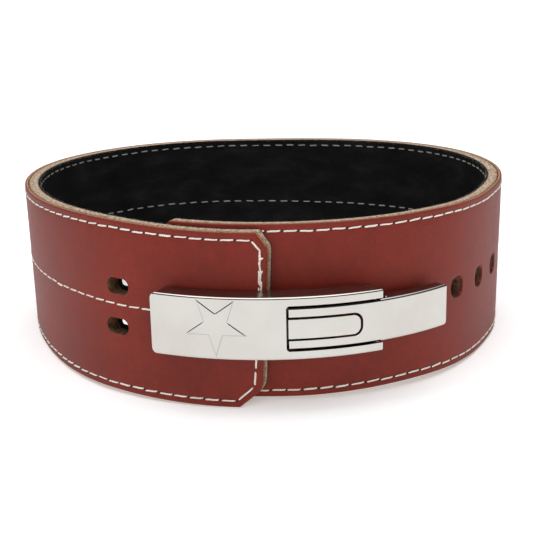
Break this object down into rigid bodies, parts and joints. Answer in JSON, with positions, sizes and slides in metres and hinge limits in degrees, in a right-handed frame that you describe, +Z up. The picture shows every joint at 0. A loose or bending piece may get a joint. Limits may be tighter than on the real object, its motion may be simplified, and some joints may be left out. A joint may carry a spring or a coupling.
{
  "type": "weightlifting belt",
  "caption": "Thick leather lever belt, buckled into its loop: red outer leather, cut-leather core, black suede lining, steel lever buckle with a prong plate",
  "frame": {"origin": "on the floor under the middle of the box round the belt, so the waist opening goes up from it", "axes": "+X to the left of the wearer, +Y to the wearer's back, +Z up; the buckle is at -Y with its handle end towards -X"},
  "size_m": [0.3212, 0.3098, 0.1038],
  "materials": {
    "red_leather": "smooth grain, brownish red, slight sheen",
    "cut_leather": "raw cut edge, greyish beige, matt and fibrous",
    "suede": "black suede, matt with a short nap",
    "polished_steel": "polished plated steel"
  },
  "bodies": {
    "strap": {"outer_leather": "red_leather", "core_leather": "cut_leather", "suede_lining": "suede", "base_plate": "polished_steel", "lever_pin": "polished_steel", "mounting_screw_1": "polished_steel", "mounting_screw_2": "polished_steel", "mounting_screw_3": "polished_steel", "mounting_screw_4": "polished_steel"},
    "lever": {"lever": "polished_steel", "prong_plate_pin": "polished_steel"},
    "prong_plate": {"prong_plate": "polished_steel"}
  },
  "joints": [
    {"name": "lever_swing", "type": "hinge", "parent": "strap", "child": "lever", "pos_m": [0.05926, -0.13565, 0.0505], "axis": [0, 0, 1], "range_deg": [0, 120]},
    {"name": "prong_plate_swing", "type": "hinge", "parent": "lever", "child": "prong_plate", "pos_m": [0.0194, -0.15007, 0.0505], "axis": [0, 0, 1], "range_deg": [-120, 0]}
  ],
  "couplings": [
    {"joint": "prong_plate_swing", "follows": "lever_swing", "ratio": -1}
  ]
}
